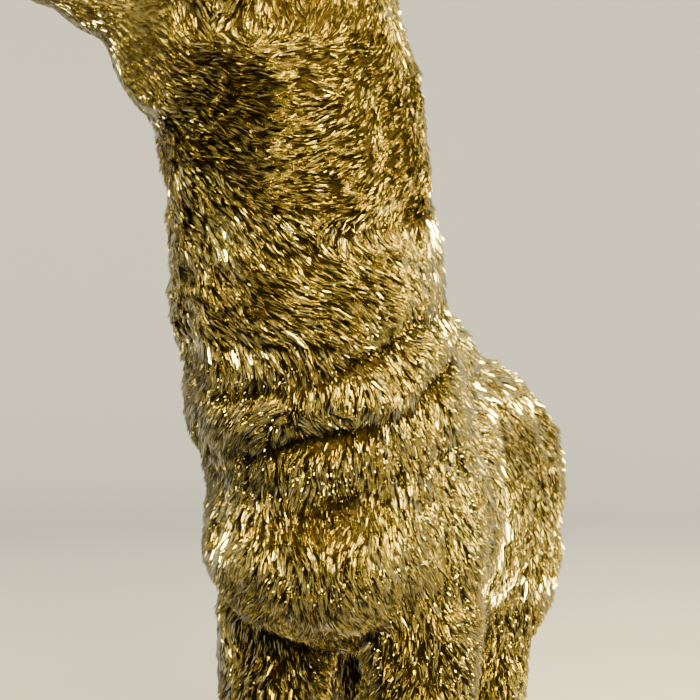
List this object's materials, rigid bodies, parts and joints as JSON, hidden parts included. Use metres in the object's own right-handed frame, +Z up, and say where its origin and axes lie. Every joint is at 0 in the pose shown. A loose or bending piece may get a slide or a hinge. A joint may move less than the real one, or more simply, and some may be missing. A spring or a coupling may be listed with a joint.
{
  "type": "alpaca ornament",
  "caption": "Standing alpaca in thick carved fleece, head turned to its right, cast in one piece with a low round-cornered plinth and finished in metallic gold.",
  "frame": {"origin": "middle of the plinth's flat underside", "axes": "+Z up through the figure; the animal's body faces -Y and its left side is +X"},
  "size_m": [0.0928, 0.1902, 0.3087],
  "materials": {
    "gold": "bright metallic gold paint over a carved fleece texture, darker in the hollows"
  },
  "bodies": {
    "root": {"alpaca_figure": "gold"}
  },
  "joints": []
}
